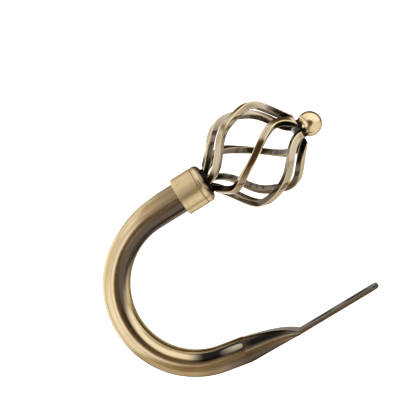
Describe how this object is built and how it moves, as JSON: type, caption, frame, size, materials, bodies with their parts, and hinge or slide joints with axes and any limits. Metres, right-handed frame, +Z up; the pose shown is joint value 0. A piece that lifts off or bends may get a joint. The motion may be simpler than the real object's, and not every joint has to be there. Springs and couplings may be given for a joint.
{
  "type": "curtain holdback",
  "caption": "U-shaped tube curtain holdback in antique brass: a flattened, slotted wall strip at one end, a collar and a twisted open cage finial with a ball at the other.",
  "frame": {"origin": "midway between the two mounting slots, on the wall face of the flattened strip", "axes": "the wall is the plane Y = 0 and the hook stands out along +Y; +X runs along the wall towards the strip's end and the finial; +Z is up, across the flat of the hook"},
  "size_m": [0.1548, 0.122, 0.0566],
  "materials": {
    "arm_brass": "antique brass, darkened and lacquered, with lengthwise sheen",
    "collar_brass": "brushed antique brass with fine turning lines",
    "cage_brass": "darkened brass with the edges rubbed bright",
    "ball_brass": "turned and polished antique brass",
    "dark_bronze": "darkened brass, left almost black",
    "plain_steel": "plain steel, dull"
  },
  "bodies": {
    "root": {"hook_arm": "arm_brass", "finial_collar": "collar_brass", "tube_plug": "plain_steel", "finial_stud": "plain_steel", "cage_base": "dark_bronze", "tip_disc": "dark_bronze", "ball_screw": "plain_steel", "tip_ball": "ball_brass", "cage_bar_1": "cage_brass", "cage_bar_2": "cage_brass", "cage_bar_3": "cage_brass", "cage_bar_4": "cage_brass", "cage_bar_5": "cage_brass", "cage_bar_6": "cage_brass"}
  },
  "joints": []
}
